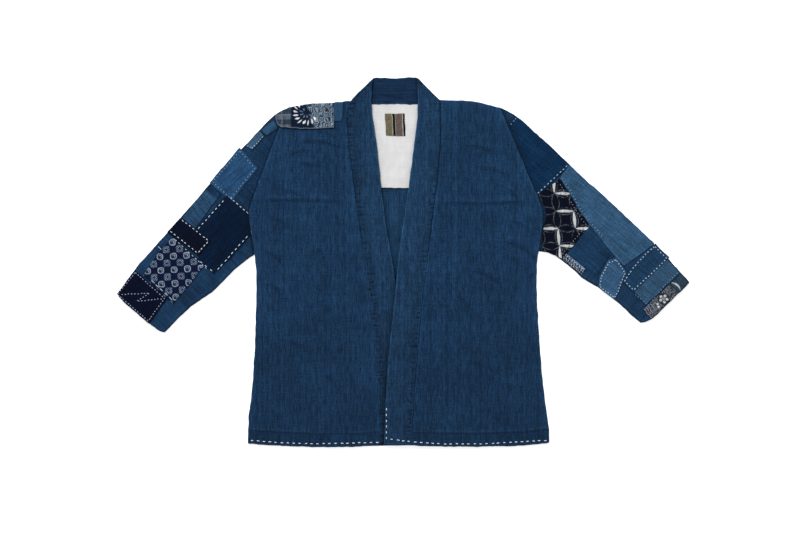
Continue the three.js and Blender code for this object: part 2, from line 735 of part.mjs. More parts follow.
// Flattened tube: each ring has the upper layer, the underarm, the lower layer and the overarm fold
function sleeveTube(side) {
  const curve = (points) => new THREE.SplineCurve(points.map(([x, y]) => new THREE.Vector2(x, y)));
  const sleeve = SLEEVE[side];
  const [over, under, cuff] = [sleeve.overarm, sleeve.underarm, sleeve.cuff].map(curve);
  const armhole = STATIONS[side].slice(-ARMHOLE_ROWS - 1).reverse().map((station) => (
    new THREE.Vector2(station.edge.x + OUTWARD[side] * SEAM_GAP, station.edge.y)
  ));
  const across = armhole.map((_, i) => i / ARMHOLE_ROWS);
  const corners = {
    overBody: over.getPoint(0),
    underBody: under.getPoint(0),
    overCuff: cuff.getPoint(0),
    underCuff: cuff.getPoint(1),
  };
  const planPoint = (i, s) => {
    const u = across[i];
    const byEdges = over.getPointAt(s).multiplyScalar(1 - u).addScaledVector(under.getPointAt(s), u);
    const byEnds = armhole[i].clone().multiplyScalar(1 - s).addScaledVector(cuff.getPointAt(u), s);
    const byCorners = corners.overBody.clone().multiplyScalar((1 - u) * (1 - s))
      .addScaledVector(corners.underBody, u * (1 - s))
      .addScaledVector(corners.overCuff, (1 - u) * s)
      .addScaledVector(corners.underCuff, u * s);
    return byEdges.add(byEnds).sub(byCorners);
  };
  const ring = (s, inset) => {
    const plan = across.map((_, i) => planPoint(i, s));
    const last = ARMHOLE_ROWS;
    const stepIn = (from, to, distance) => (
      plan[from].clone().addScaledVector(plan[to].clone().sub(plan[from]).normalize(), distance)
    );
    const fold = stepIn(0, 1, inset);
    const seam = stepIn(last, last - 1, inset);
    const pulled = [...plan];
    pulled[0] = stepIn(0, 1, inset + SLEEVE_FOLD_ROUNDING);
    pulled[last] = stepIn(last, last - 1, inset + SLEEVE_FOLD_ROUNDING);
    const upper = pulled.map((p) => new THREE.Vector3(p.x, p.y, sleeveTop(side, p.x, p.y) - inset));
    const lower = pulled.map((p) => new THREE.Vector3(p.x, p.y, inset)).reverse();
    const middle = SLEEVE_AT_FOLD / 2;
    const atMiddle = (p) => new THREE.Vector3(p.x, p.y, middle);
    return [...upper, atMiddle(seam), ...lower, atMiddle(fold)];
  };
  const size = 2 * across.length + 2;
  const points = [];
  for (let j = 0; j <= SLEEVE_RINGS; j += 1) {
    points.push(...ring(j / SLEEVE_RINGS, 0), ...ring(j / SLEEVE_RINGS, CLOTH));
  }
  const outer = (j, k) => j * 2 * size + (k % size);
  const inner = (j, k) => outer(j, k) + size;
  const end = SLEEVE_RINGS;
  const quads = [];
  for (let k = 0; k < size; k += 1) {
    for (let j = 0; j < SLEEVE_RINGS; j += 1) {
      quads.push([outer(j, k), outer(j, k + 1), outer(j + 1, k + 1), outer(j + 1, k)]);
      quads.push([inner(j, k), inner(j + 1, k), inner(j + 1, k + 1), inner(j, k + 1)]);
    }
    quads.push([outer(0, k + 1), outer(0, k), inner(0, k), inner(0, k + 1)]);
    quads.push([outer(end, k), outer(end, k + 1), inner(end, k + 1), inner(end, k)]);
  }
  return closedBody(points, quads);
}

const patchLift = (patch) => PATCH_GAP + patch.level * (PATCH_CLOTH + PATCH_GAP);

function sleevePatch(patch) {
  const rows = patch.rows.map((row) => {
    const start = onSleeve(patch.side, row.a0, row.b0);
    const end = onSleeve(patch.side, row.a1, row.b1);
    return { x0: start.x, y0: start.y, x1: end.x, y1: end.y };
  });
  const under = (p) => sleeveTop(patch.side, p.x, p.y) + patchLift(patch);
  return clothWall(gridFromRows(rows, PATCH_CELL), under, () => PATCH_CLOTH);
}

function shoulderPatch(patch) {
  const top = ({ x, y }) => {
    const seamX = lookUp(SIDE_EDGE.right, "y", y, "x");
    const overFront = x > seamX - SHOULDER_PATCH_BRIDGE;
    const overSleeve = x < seamX + SHOULDER_PATCH_BRIDGE;
    const frontTop = frontUnder("right", Math.max(x, seamX), y) + CLOTH;
    return Math.max(overFront ? frontTop : 0, overSleeve ? sleeveTop("right", Math.min(x, seamX), y) : 0);
  };
  const under = (p) => top(p) + patchLift(patch);
  return clothWall(gridFromRows(patch.rows, PATCH_CELL), under, () => PATCH_CLOTH);
}

const INDIGO = 0x1f4a75;
const group = new THREE.Group();

function add(name, geometry, colour) {
  const material = new THREE.MeshStandardMaterial({ color: colour, roughness: 0.9, metalness: 0 });
  const mesh = new THREE.Mesh(geometry, material);
  mesh.name = name;
  group.add(mesh);
}

add("back_panel", backPanel(), INDIGO);
const lining = clothWall(gridFromRows(LINING_ROWS, LINING_CELL), () => LINING_UNDERSIDE, () => PATCH_CLOTH);
add("neck_lining", lining, 0xe8eaee);
const labelUnderside = LINING_UNDERSIDE + PATCH_CLOTH + SEAM_GAP;
const label = clothWall(gridFromRows(LABEL_ROWS, COLLAR_CELL), () => labelUnderside, () => PATCH_CLOTH);
add("label_patch", label, 0x6d6748);
for (const side of ["right", "left"]) {
  add(`front_${side}`, frontPanel(side), INDIGO);
  add(`band_${side}`, bandStrip(side), 0x1b4069);
  add(`sleeve_${side}`, sleeveTube(side), 0x24507c);
}
add("collar_back", collarBack(), 0x17375c);
SHOULDER_PATCHES.forEach((patch) => add(patch.name, shoulderPatch(patch), patch.colour));
SLEEVE_PATCHES.forEach((patch) => add(patch.name, sleevePatch(patch), patch.colour));

export default group;
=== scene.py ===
import math

import bmesh
import bpy
import numpy as np
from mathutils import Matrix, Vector
from mathutils.kdtree import KDTree


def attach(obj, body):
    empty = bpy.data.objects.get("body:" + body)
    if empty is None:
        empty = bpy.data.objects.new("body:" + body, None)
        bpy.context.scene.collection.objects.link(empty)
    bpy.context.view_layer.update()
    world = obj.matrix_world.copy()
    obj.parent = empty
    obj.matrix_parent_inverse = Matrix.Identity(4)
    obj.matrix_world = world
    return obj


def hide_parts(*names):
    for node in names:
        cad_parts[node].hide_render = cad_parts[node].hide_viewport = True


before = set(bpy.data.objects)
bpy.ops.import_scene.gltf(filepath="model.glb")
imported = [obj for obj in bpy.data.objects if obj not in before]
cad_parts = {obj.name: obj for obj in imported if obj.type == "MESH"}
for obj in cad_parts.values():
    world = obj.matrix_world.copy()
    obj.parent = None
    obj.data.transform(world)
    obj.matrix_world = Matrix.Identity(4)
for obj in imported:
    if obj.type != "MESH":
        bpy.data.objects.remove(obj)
bpy.context.view_layer.update()

MM = 0.001
WELD = 0.01 * MM
EDGE_ROUNDING = 0.4 * MM
SHORT_EDGE = 1.2 * MM
# Cloth above this height belongs to the upper layers, which the creases lift together.
LIFT_FROM = 1.2 * MM
LIFT_FULL = 1.5 * MM
# The relief grows to its full height over this many millimetres from the garment's edges.
HELD_WITHIN = 45.0
# How far in plan, in millimetres, an edge strays from its ruled line.
STRAY = 0.45
# How much brighter the light shows a dye, and the grey shine that it adds.
LIGHT_GAIN = 1.17
SHINE = 0.0035
# No dye is darker than this.
DARKEST_DYE = 0.0008

# Each sleeve has its own axes: along it from the shoulder, and across it from the top fold.
# The numbers are origin x and y in millimetres, direction in degrees, and the side it turns to.
SLEEVES = {"right": (-245, 301, -132.0, 1), "left": (195, 307, -42.6, -1)}
HEM_TURN = 28.0
# How far each sleeve lies below its plain solid's line once it has dropped, in millimetres.
LEFT_DROP, RIGHT_DROP = 5.4, 3.2
# The heights and columns at which an outline is read, their step, and how near a point counts.
LEVELS = np.arange(-366, 368, 6.0)
COLUMNS = np.arange(-310, 292, 6.0)
NEAR_LEVEL = 4
# The bands part here: one lies to the left of this x in millimetres and one to the right.
BETWEEN_BANDS = -20
# The label's lower left corner, its lean to the left per millimetre of height, and its width.
LABEL_X, LABEL_Y, LABEL_LEAN, LABEL_WIDTH = -35.0, 253.0, 2 / 42, 36.0


def smooth(low, high, value):
    t = np.clip((value - low) / (high - low), 0.0, 1.0)
    return t * t * (3.0 - 2.0 * t)


def linear(red, green, blue):
    """A colour of a picture, 0 to 255, as the dye that shows it under this light."""
    c = np.array([red, green, blue]) / 255.0
    c = np.where(c <= 0.04045, c / 12.92, ((c + 0.055) / 1.055) ** 2.4)
    return np.maximum((c - SHINE) / LIGHT_GAIN, DARKEST_DYE)


def scatter(seed):
    return np.random.default_rng(seed)


def wave(x, y, seed, count, longest, shortest):
    """Slow uneven swelling, between -1 and 1 or so, made of a few crossing waves."""
    rng = scatter(seed)
    total = np.zeros_like(x)
    for step in range(count):
        share = step / max(1, count - 1)
        length = longest * (shortest / longest) ** share
        angle = rng.uniform(0, math.pi)
        phase = rng.uniform(0, 2 * math.pi)
        along = x * math.cos(angle) + y * math.sin(angle)
        across = y * math.cos(angle) - x * math.sin(angle)
        bend = 0.35 * length * np.sin(across / length * 1.7 + phase * 2.0)
        total += np.sin(2 * math.pi * (along + bend) / length + phase)
    return total / math.sqrt(count)


def to_sleeve(side, x, y):
    fx, fy, degrees, turn = SLEEVES[side]
    angle = math.radians(degrees)
    dx, dy = x - fx, y - fy
    along = dx * math.cos(angle) + dy * math.sin(angle)
    across = turn * (dy * math.cos(angle) - dx * math.sin(angle))
    return along, across


def sag(side, along):
    """How far a sleeve lies below its plain solid's line, in millimetres, along its length."""
    if side == "left":
        return LEFT_DROP * smooth(120, 215, along) * (1 - 0.6 * smooth(300, 500, along))
    return RIGHT_DROP * smooth(20, 90, along)


def from_sleeve(side, along, across):
    fx, fy, degrees, turn = SLEEVES[side]
    angle = math.radians(degrees)
    x = fx + along * math.cos(angle) - turn * across * math.sin(angle)
    y = fy + along * math.sin(angle) + turn * across * math.cos(angle)
    return x, y


CREASE_STRENGTH = 1.9
# Creases of the upper cloth: from, to, bow sideways, half width and height, in millimetres.
CREASES = [
    (-312, 123, -98, 119, 4, 4.5, 0.9),
    (66, 121, 272, 125, -4, 4.5, 0.9),
    (-210, 240, -118, 229, 6, 6.0, 1.0),
    (-209, 196, -170, 194, 3, 5.0, 0.8),
    (-240, 146, -205, 132, 3, 5.0, 0.9),
    (-277, -42, -236, -61, 4, 6.0, 0.9),
    (-160, -220, -135, -246, 4, 7.0, 0.8),
    (204, 150, 234, 111, 5, 5.0, 1.2),
    (132, -14, 194, -42, 5, 7.0, 0.9),
    (203, 45, 272, 2, 6, 7.0, 1.1),
    (249, -145, 262, -180, 3, 6.0, 0.9),
    (-292, 30, -240, -4, 6, 6.0, 1.1),
    (-262, -90, -228, -210, 8, 10.0, 0.9),
    (180, -120, 205, -230, 7, 10.0, 0.9),
    (-200, 60, -150, -60, 9, 12.0, 0.9),
    (120, 180, 165, 60, 8, 10.0, 0.8),
    (-180, 262, -128, 246, 4, 5.0, 0.7),
    (-226, 214, -188, 224, 3, 5.0, 0.7),
    (-272, 92, -214, 62, 6, 8.0, 0.6),
    (-286, 66, -252, 38, 4, 6.0, 0.6),
    (-150, 30, -112, -20, 6, 8.0, 0.7),
    (-250, -150, -180, -182, 6, 9.0, 0.7),
    (118, 236, 190, 214, 5, 7.0, 0.7),
    (150, 190, 214, 172, 4, 6.0, 0.7),
    (214, 86, 266, 52, 5, 6.0, 0.6),
    (190, 20, 262, -28, 6, 8.0, 0.6),
    (96, -60, 140, -96, 5, 8.0, 0.7),
    (120, -196, 196, -222, 6, 9.0, 0.7),
]


def crease_height(x, y):
    """Height in millimetres of the listed creases at plan points in millimetres."""
    total = np.zeros_like(x)
    for x0, y0, x1, y1, bow, width, height in CREASES:
        length = math.hypot(x1 - x0, y1 - y0)
        ux, uy = (x1 - x0) / length, (y1 - y0) / length
        along = ((x - x0) * ux + (y - y0) * uy) / length
        across = (y - y0) * ux - (x - x0) * uy
        across = across - bow * np.sin(math.pi * np.clip(along, 0, 1))
        fade = smooth(-0.12, 0.3, along) * smooth(1.12, 0.7, along)
        # A crease falls off more steeply on the side away from the light.
        side = np.where(across * ux > 0, width * 1.3, width * 0.55)
        total += CREASE_STRENGTH * height * fade * np.exp(-((across / side) ** 2))
    return total


def relief(x, y, held):
    """Lift in millimetres of the upper layers. held is 0 at the garment's edges and 1 inside."""
    swell = 0.6 + 0.35 * wave(x, y, 11, 5, 190, 60)
    crumple = 0.2 + 0.15 * wave(x, y, 12, 7, 46, 14)
    return held * (swell + crease_height(x, y)) + (0.4 + 0.6 * held) * crumple


def wander(x, y):
    """Small shift in plan, in millimetres, that keeps every sewn and cut edge from being ruled."""
    return STRAY * wave(x, y, 21, 5, 70, 16), STRAY * wave(x, y, 22, 5, 70, 16)


def distances(tree, points):
    """Distance in millimetres in plan from each point to the nearest point of a tree."""
    return np.array([tree.find((px, py, 0.0))[2] for px, py in points]) / MM


def flat_tree(points):
    tree = KDTree(len(points))
    for i, p in enumerate(points):
        tree.insert((p[0], p[1], 0.0), i)
    tree.balance()
    return tree


def fine_copy(name, halvings, rounds, cuts):
    """The solid's own mesh with rounded edges and fine even cells, finest on its upper side."""
    bm = bmesh.new()
    bm.from_mesh(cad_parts[name].data)
    bmesh.ops.remove_doubles(bm, verts=bm.verts, dist=WELD)
    bmesh.ops.join_triangles(
        bm,
        faces=bm.faces,
        angle_face_threshold=math.radians(50),
        angle_shape_threshold=math.radians(60),
    )
    rough = bpy.data.meshes.new("rough_" + name)
    bm.to_mesh(rough)
    bm.free()
    holder = bpy.data.objects.new("rough_" + name, rough)
    bpy.context.scene.collection.objects.link(holder)
    bevel = holder.modifiers.new("edge", "BEVEL")
    bevel.width = EDGE_ROUNDING
    bevel.segments = 1
    bevel.limit_method = "ANGLE"
    bevel.angle_limit = math.radians(40)
    if halvings:
        flat = holder.modifiers.new("halved", "SUBSURF")
        flat.subdivision_type = "SIMPLE"
        flat.levels = halvings
    even = holder.modifiers.new("fine", "SUBSURF")
    even.levels = rounds
    depsgraph = bpy.context.evaluated_depsgraph_get()
    mesh = bpy.data.meshes.new_from_object(holder.evaluated_get(depsgraph))
    bpy.data.objects.remove(holder)
    bpy.data.meshes.remove(rough)
    if cuts:
        bm = bmesh.new()
        bm.from_mesh(mesh)
        upper = {e for f in bm.faces if f.normal.z > 0.25 for e in f.edges}
        long_edges = [e for e in upper if e.calc_length() > SHORT_EDGE]
        bmesh.ops.subdivide_edges(bm, edges=long_edges, cuts=cuts, use_grid_fill=True)
        bm.to_mesh(mesh)
        bm.free()
    mesh.name = name
    return mesh


def points_of(mesh):
    co = np.empty(len(mesh.vertices) * 3)
    mesh.vertices.foreach_get("co", co)
    return co.reshape(-1, 3)


def rim_of(mesh):
    """The points of the mesh's cut edges, where its surface stands upright."""
    normals = np.empty(len(mesh.vertices) * 3)
    mesh.vertex_normals.foreach_get("vector", normals)
    return points_of(mesh)[np.abs(normals.reshape(-1, 3)[:, 2]) < 0.5][::2]


# The colour layer holds each cloth's dye with its painted shade already multiplied in.
def paint(mesh, colours):
    layer = mesh.color_attributes.new(name="dye_and_shade", type="FLOAT_COLOR", domain="POINT")
    rgba = np.ones((len(mesh.vertices), 4))
    rgba[:, :3] = np.clip(colours, 0.0, 1.0)
    layer.data.foreach_set("color", rgba.ravel())


def mixed(dye_and_shade, colour, share):
    """dye with that share of a picture colour over it."""
    share = np.clip(share, 0.0, 1.0)[:, None]
    return dye_and_shade * (1 - share) + linear(*colour) * share


def edge_at(at, value, levels, pick):
    """The outermost value of a piece near each level, read at every one of its points."""
    found, places = [], []
    for level in levels:
        near = np.abs(at - level) < NEAR_LEVEL
        if near.any():
            found.append(pick(value[near]))
            places.append(level)
    return np.interp(at, places, found)


def is_right_band(x):
    return x.mean() < BETWEEN_BANDS


def inside_band(x, y):
    """Distance in millimetres of each point of a band from its outer seam."""
    return np.abs(edge_at(y, x, LEVELS, np.min if is_right_band(x) else np.max) - x)


# How each cloth is painted. x and y are in millimetres, rim is the distance from the piece's
# own edge and edge the distance from the garment's seams and folds.


def paint_body(dye_and_shade, x, y, rim, edge):
    shade = 1.05 - 0.2 * smooth(60, -330, y)
    shade = shade * (1 + 0.26 * np.exp(-((edge / 7.0) ** 2)))
    shade = shade * (1 + 0.3 * np.exp(-((rim / 2.0) ** 2)))
    shade = shade * (1 + 0.06 * wave(x, y, 31, 6, 260, 70))
    # Lighter along the crease ridges, and a painted shade just below each crease, on the flank turned from
    # the light.
    shade = shade * (1 + 0.07 * (crease_height(x, y) - 0.15))
    shade = shade * (1 - 0.13 * np.clip(crease_height(x, y + 4.5), 0, 1.5))
    above_hem = y - edge_at(x, y, COLUMNS, np.min)
    # Darker over the doubled hem. A painted shade lies in the groove at the hem's turn, with a lighter line
    # just above it, and another runs along the bottom edge.
    shade = shade * (1 - 0.13 * smooth(HEM_TURN + 1, HEM_TURN - 1, above_hem))
    shade = shade * (1 - 0.25 * np.exp(-(((above_hem - HEM_TURN + 1.5) / 1.8) ** 2)))
    shade = shade * (1 + 0.22 * np.exp(-(((above_hem - HEM_TURN - 2.5) / 1.8) ** 2)))
    shade = shade * (1 - 0.12 * smooth(9, 2, above_hem))
    return dye_and_shade * shade[:, None]


def paint_band(dye_and_shade, x, y, rim, edge):
    inside = inside_band(x, y)
    shade = 1.05 - 0.2 * smooth(0, -330, y)
    shade = shade * (1 + 0.85 * np.exp(-((rim / 2.2) ** 2)) * smooth(20, 34, inside))
    # A painted shade along the band's outer seam, deeper on the right band.
    shade = shade * (1 - (0.22 if is_right_band(x) else 0.1) * smooth(28, 12, inside))
    # Painted shade in the folds of the puckers beside the seam.
    shade = shade * (1 - 0.5 * tick(x, y, inside))
    # The seam is a dark line on the shoulder and chest, and a worn light one lower down.
    seam = np.exp(-(((inside - 0.9) / 1.2) ** 2))
    shade = shade * (1 + seam * (0.55 * smooth(70, -30, y) - 0.5 * smooth(-30, 70, y)))
    shade = shade * (1 + 0.05 * wave(x, y, 32, 5, 60, 20))
    return dye_and_shade * shade[:, None]


def tick(x, y, inside):
    """The small puckers beside a band's seam, from 0 to 1."""
    drift = wave(x, y, 33, 4, 90, 30)
    size = 1.0 + 0.35 * smooth(30, -60, y) * (x < BETWEEN_BANDS)
    near = np.cos(2 * math.pi * (y / 8.4 + 0.35 * drift))
    far = np.cos(2 * math.pi * (y / 13.3 - 0.5 * drift))
    step = smooth(0.0, 0.75, 0.6 * near + 0.5 * far)
    strength = np.clip(0.7 + 0.35 * wave(x, y, 34, 4, 120, 40), 0, 1.1)
    reach = (10 + 3 * wave(x, y, 35, 4, 40, 9)) * size
    return step * smooth(0.5, 2.5, inside) * smooth(reach + 4, reach - 3, inside) * strength


def paint_sleeve(dye_and_shade, x, y, rim, edge):
    shade = 1.0 + 0.1 * wave(x, y, 35, 5, 110, 30)
    # A lighter line about 5 mm in from the garment's folds and seams, and a painted shade right at them.
    shade = shade * (1 + 0.3 * np.exp(-(((edge - 5.0) / 2.4) ** 2)))
    shade = shade * (1 - 0.35 * np.exp(-((edge / 2.2) ** 2)))
    return dye_and_shade * shade[:, None]


def paint_patch(dye_and_shade, x, y, rim, edge):
    shade = 1.0 + 0.06 * wave(x, y, 36, 5, 50, 14)
    shade = shade * (1 + 0.25 * np.exp(-((rim / 1.3) ** 2)))
    return dye_and_shade * shade[:, None]


def paint_slubbed(dye_and_shade, x, y, rim, edge):
    """The slubbed patch, whose head is still the plain indigo of the sleeve."""
    along = to_sleeve("right", x, y)[0]
    dye_and_shade = paint_patch(dye_and_shade, x, y, rim, edge)
    dye_and_shade = mixed(dye_and_shade, (26, 50, 77), smooth(212.5, 211, along))
    return dye_and_shade * (1 - 0.35 * np.exp(-(((along - 213) / 1.4) ** 2)))[:, None]


def paint_lining(dye_and_shade, x, y, rim, edge):
    shade = 1.0 - 0.05 * smooth(25, 0, y - 147) + 0.015 * wave(x, y, 37, 4, 60, 20)
    return dye_and_shade * shade[:, None]


# How softly the label's stripes end, as a share of its width.
STRIPE_BLUR = 0.012
# The stripes: from and to as shares of the label's width, and their colour.
LABEL_STRIPES = [
    (0.00, 0.33, (108, 101, 80)),
    (0.33, 0.38, (150, 148, 138)),
    (0.38, 0.50, (12, 13, 18)),
    (0.50, 0.53, (140, 138, 132)),
    (0.53, 0.86, (99, 85, 79)),
    (0.86, 0.91, (160, 156, 150)),
    (0.91, 1.10, (16, 17, 24)),
]


def paint_label(dye_and_shade, x, y, rim, edge):
    share = (x - LABEL_X + LABEL_LEAN * (y - LABEL_Y)) / LABEL_WIDTH
    for start, stop, colour in LABEL_STRIPES:
        begun = smooth(start - STRIPE_BLUR, start + STRIPE_BLUR, share)
        ended = smooth(stop + STRIPE_BLUR, stop - STRIPE_BLUR, share)
        dye_and_shade = mixed(dye_and_shade, colour, begun * ended)
    weft = 1 + 0.12 * np.sin(y * 2 * math.pi / 3.6) + 0.14 * wave(x, y, 38, 6, 14, 4)
    return dye_and_shade * weft[:, None]


# The checked print: cells of this size in millimetres, from this corner, turned by this slope.
CHECK_CELL, CHECK_X, CHECK_Y, CHECK_SLOPE = 12.55, -458.1, 12.5, 0.06


def paint_squares(dye_and_shade, x, y, rim, edge):
    u = ((x - CHECK_X) + CHECK_SLOPE * (y - CHECK_Y)) / CHECK_CELL
    v = ((y - CHECK_Y) - CHECK_SLOPE * (x - CHECK_X)) / (CHECK_CELL * 1.02)
    column, row = np.round(u), np.round(v)
    du, dv = (u - column) * CHECK_CELL, (v - row) * CHECK_CELL
    lit = (column + row) % 2 == 0
    bold = column % 2 == 0
    reach = (np.abs(du) ** 2.8 + np.abs(dv) ** 2.8) ** (1 / 2.8)
    ring = smooth(0.85, 0.35, np.abs(reach - 5.2))
    core = smooth(0.8, 0.35, np.abs(reach - 2.3)) * smooth(-1.6, -0.4, du + dv)
    beads = np.cos(du * 2 * math.pi / 4.3) * np.cos(dv * 2 * math.pi / 4.3)
    dots = smooth(0.0, 0.35, beads) * smooth(6.6, 6.0, reach) * smooth(1.6, 2.4, reach)
    worn = 0.85 + 0.15 * wave(x, y, 39, 5, 30, 7)
    purple = ~lit & (row % 2 == 0)
    dye_and_shade = mixed(dye_and_shade, (18, 25, 50), 0.35 * purple)
    dye_and_shade = mixed(dye_and_shade, (34, 52, 80), 0.5 * lit)
    dye_and_shade = mixed(dye_and_shade, (168, 179, 196), worn * lit * bold * np.maximum(ring, 0.8 * core))
    return mixed(dye_and_shade, (146, 158, 178), worn * lit * ~bold * dots)


# The linked circles: one crossing, the step to the next along a row and up a column.
LINK_X, LINK_Y, LINK_STEP, LINK_LEAN = 307.0, 72.0, 33.0, -3.0
# The filled leaves: column and row of the crossing that each starts from, and its direction.
LEAVES = [
    (0, 2, "up"),
    (1, 0, "up"),
    (0, -1, "up"),
    (0, -2, "up"),
    (0, 2, "along"),
    (0, 1, "along"),
    (-1, 0, "along"),
    (1, 0, "along"),
    (0, -1, "along"),
    (-1, 3, "along"),
]


def link_places(x, y):
    row = (y - LINK_Y) / LINK_STEP
    column = (x - LINK_X - LINK_LEAN * row) / LINK_STEP
    return column, row


def leaf_cover(x, y):
    """How much of each point is on a filled leaf, from 0 to 1, thickest in its middle."""
    column, row = link_places(x, y)
    cover = np.zeros_like(x)
    for c, r, way in LEAVES:
        along, across = (row - r, column - c) if way == "up" else (column - c, row - r)
        inside = (along > 0.03) & (along < 0.97)
        half = 0.086 * np.sin(math.pi * np.clip(along, 0, 1)) ** 0.75 + 1e-6
        cover = np.maximum(cover, inside * smooth(1.15, 0.7, np.abs(across) / half))
    return cover


def paint_circles(dye_and_shade, x, y, rim, edge):
    column, row = link_places(x, y)
    outline = np.zeros_like(x)
    for left in (-1, 0, 1):
        for down in (-1, 0, 1):
            cx, cy = np.floor(column) + 0.5 + left, np.floor(row) + 0.5 + down
            reach = np.hypot(column - cx, row - cy)
            outline = np.maximum(outline, smooth(0.03, 0.01, np.abs(reach - math.sqrt(0.5))))
    broken = 0.36 + 0.3 * wave(x, y, 40, 5, 21, 4)
    dye_and_shade = mixed(dye_and_shade, (112, 116, 124), outline * broken)
    thread = 0.9 + 0.1 * np.sin((x + y) * 2 * math.pi / 2.2)
    return mixed(dye_and_shade, (205, 210, 212), leaf_cover(x, y) * thread)


# The chrysanthemum on the shoulder: its middle, and its reach sideways and down.
BLOOM_X, BLOOM_Y, BLOOM_WIDE, BLOOM_HIGH = -194.0, 297.0, 29.5, 27.5


def paint_shoulder(dye_and_shade, x, y, rim, edge):
    plaid = 0.5 + 0.5 * np.sign(np.sin(2 * math.pi * (y - 262) / 21.0))
    stripe = 0.5 + 0.5 * np.sign(np.sin(2 * math.pi * (x + 250) / 17.0 + 0.6))
    west = smooth(-222, -226, x)
    dye_and_shade = mixed(dye_and_shade, (40, 62, 74), west * 0.6)
    dye_and_shade = mixed(dye_and_shade, (104, 110, 122), west * (0.1 + 0.55 * plaid * (0.6 + 0.4 * stripe)))
    line = smooth(1.6, 0.8, np.abs(x + 242)) + smooth(1.4, 0.7, np.abs(y - 292))
    dye_and_shade = mixed(dye_and_shade, (110, 122, 136), west * 0.6 * line)
    swirl_x = x + 2.6 * np.sin(y / 3.1) + 1.2 * np.sin(x / 2.3 + y / 4.7)
    swirl_y = y + 2.8 * np.sin(x / 3.7)
    scroll = np.sin(2 * math.pi * swirl_x / 4.6) * np.sin(2 * math.pi * swirl_y / 5.2)
    east = smooth(-181, -173, x + 0.25 * (y - 262) + 3 * np.sin(y / 4))
    dye_and_shade = mixed(dye_and_shade, (44, 64, 88), east * 0.5)
    dye_and_shade = mixed(dye_and_shade, (152, 167, 180), east * smooth(0.1, 0.34, scroll) * 0.95)
    u, v = (x - BLOOM_X) / BLOOM_WIDE, (y - BLOOM_Y) / BLOOM_HIGH
    reach, angle = np.hypot(u, v), np.arctan2(v, u)
    shown = smooth(-0.5, -0.4, np.cos(angle - 3.75))
    for inner, outer, count, colour, turn in (
        (0.52, 1.02, 17, (206, 211, 214), 0.0),
        (0.12, 0.50, 9, (92, 112, 134), 0.2),
    ):
        place = (angle + turn + 0.35 * (reach - inner)) * count / (2 * math.pi)
        uneven = 0.5 + 0.5 * np.sin(2.4 * np.floor(place) + 0.7)
        stop = outer - (0.26 * uneven + 0.1 * (v > 0.2)) * (outer - inner)
        share = np.clip((reach - inner) / (stop - inner), 0, 1)
        fan = np.abs(place % 1 - 0.5) * 2
        half = (0.42 + 0.3 * uneven) * np.sin(math.pi * share**1.1) ** 0.95
        body = (reach > inner) & (reach < stop)
        dye_and_shade = mixed(dye_and_shade, colour, body * smooth(0.0, 0.22, half - fan) * shown)
    return mixed(dye_and_shade, (104, 116, 128), 0.7 * smooth(2.6, 1.2, rim) * smooth(300, 280, y))


# The flower on the cuff: its middle along and across the left sleeve, how far out its five
# round petals sit and how large they are.
FLOWER_ALONG, FLOWER_ACROSS, FLOWER_REACH, PETAL = 494.0, 60.5, 6.2, 3.0
# The arc above it: its middle and radius.
ARC_ALONG, ARC_ACROSS, ARC_RADIUS = 495, 42, 19


def paint_cuff(dye_and_shade, x, y, rim, edge):
    along, across = to_sleeve("left", x, y)
    low = smooth(30, 36, across)
    curl = 1.3 * np.sin(along / 2.9 + across / 9) + 1.6 * np.sin(across / 6.1)
    stripes = np.sin(2 * math.pi * (across + curl) / 3.1) + 0.7 * wave(x, y, 42, 6, 12, 4)
    dye_and_shade = mixed(dye_and_shade, (142, 148, 157), low * smooth(0.1, 0.7, stripes) * 0.8)
    dye_and_shade = mixed(dye_and_shade, (44, 66, 82), (1 - low) * (0.7 + 0.15 * np.sin(2 * math.pi * along / 3.2)))
    u, v = along - FLOWER_ALONG, across - FLOWER_ACROSS
    reach = np.hypot(u, v)
    dye_and_shade = mixed(dye_and_shade, (38, 44, 54), smooth(13, 10, reach))
    for k in range(5):
        turn = math.pi + 2 * math.pi * k / 5
        petal = np.hypot(u - FLOWER_REACH * math.cos(turn), v - FLOWER_REACH * math.sin(turn))
        dye_and_shade = mixed(dye_and_shade, (196, 200, 204), smooth(PETAL, PETAL - 0.7, petal))
    for bud_u, bud_v in ((-1.4, 15.4), (3.4, 18.6)):
        petal = np.hypot(u - bud_u, v - bud_v)
        dye_and_shade = mixed(dye_and_shade, (206, 210, 212), smooth(2.3, 1.7, petal))
    dye_and_shade = mixed(dye_and_shade, (24, 28, 36), smooth(4.3, 3.7, reach))
    dye_and_shade = mixed(dye_and_shade, (150, 150, 156), smooth(3.2, 2.6, reach))
    arc = np.abs(np.hypot(along - ARC_ALONG, across - ARC_ACROSS) - ARC_RADIUS)
    thick = 1.7 * np.clip(1 - ((along - FLOWER_ALONG) / 11) ** 2, 0, 1) + 0.1
    drawn = smooth(thick + 0.3, thick - 0.3, arc) * (across < ARC_ACROSS)
    return mixed(dye_and_shade, (184, 190, 196), drawn)


def paint_speckled(dye_and_shade, x, y, rim, edge):
    spots = wave(x, y, 41, 9, 4.6, 2.3)
    dye_and_shade = mixed(dye_and_shade, (150, 166, 184), smooth(0.15, 0.45, spots))
    across = to_sleeve("left", x, y)[1]
    return mixed(dye_and_shade, (140, 160, 184), 0.7 * smooth(124.5, 123, across))


